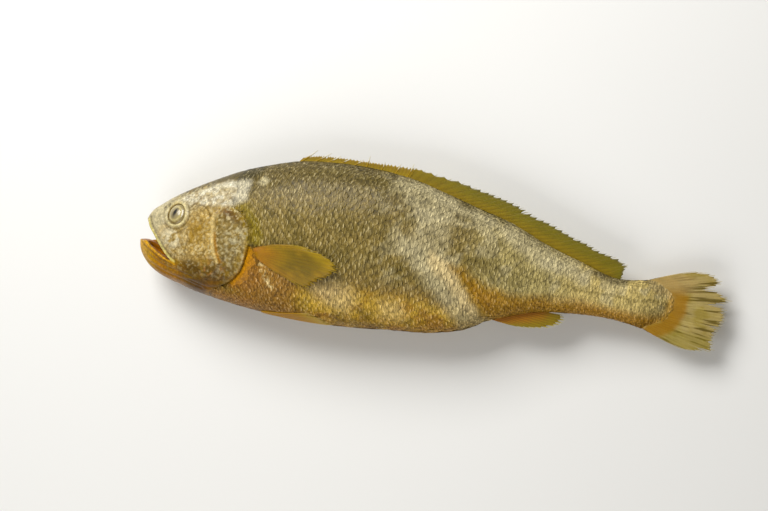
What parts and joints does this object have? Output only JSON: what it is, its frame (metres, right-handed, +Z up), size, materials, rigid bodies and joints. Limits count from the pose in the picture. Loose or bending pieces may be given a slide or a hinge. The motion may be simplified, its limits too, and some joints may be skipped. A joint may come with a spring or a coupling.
{
  "type": "croaker fish",
  "caption": "Whole raw croaker lying on its right side, mouth open, with golden scaled skin, low dorsal fins, a laid-back pectoral fin and a blunt tail fin.",
  "frame": {"origin": "centre of the bounding box on the floor the fish lies on", "axes": "+X from the snout to the tail, +Y towards the dorsal fins, +Z up, out of the left flank"},
  "size_m": [0.3406, 0.0994, 0.05],
  "materials": {
    "skin": "wet scaled skin, golden olive with silver and orange",
    "eye": "moist eye with a pale gold iris and a dark pupil",
    "spiny_fin": "yellow membrane with bare pale spine tips",
    "dorsal_fin": "ochre membrane with fine rays and an olive margin",
    "anal_fin": "orange-yellow membrane with a pale edge",
    "tail_fin": "khaki-yellow membrane with dark streaks between its rays",
    "pectoral_fin": "ochre-yellow fan with an orange base",
    "pelvic_fin": "golden-yellow fan folded along the belly"
  },
  "bodies": {
    "root": {"body": "skin", "left_eye": "eye", "right_eye": "eye", "spiny_dorsal_fin": "spiny_fin", "soft_dorsal_fin": "dorsal_fin", "anal_fin": "anal_fin", "tail_fin": "tail_fin", "left_pectoral_fin": "pectoral_fin", "right_pectoral_fin": "pectoral_fin", "left_pelvic_fin": "pelvic_fin", "right_pelvic_fin": "pelvic_fin"}
  },
  "joints": []
}
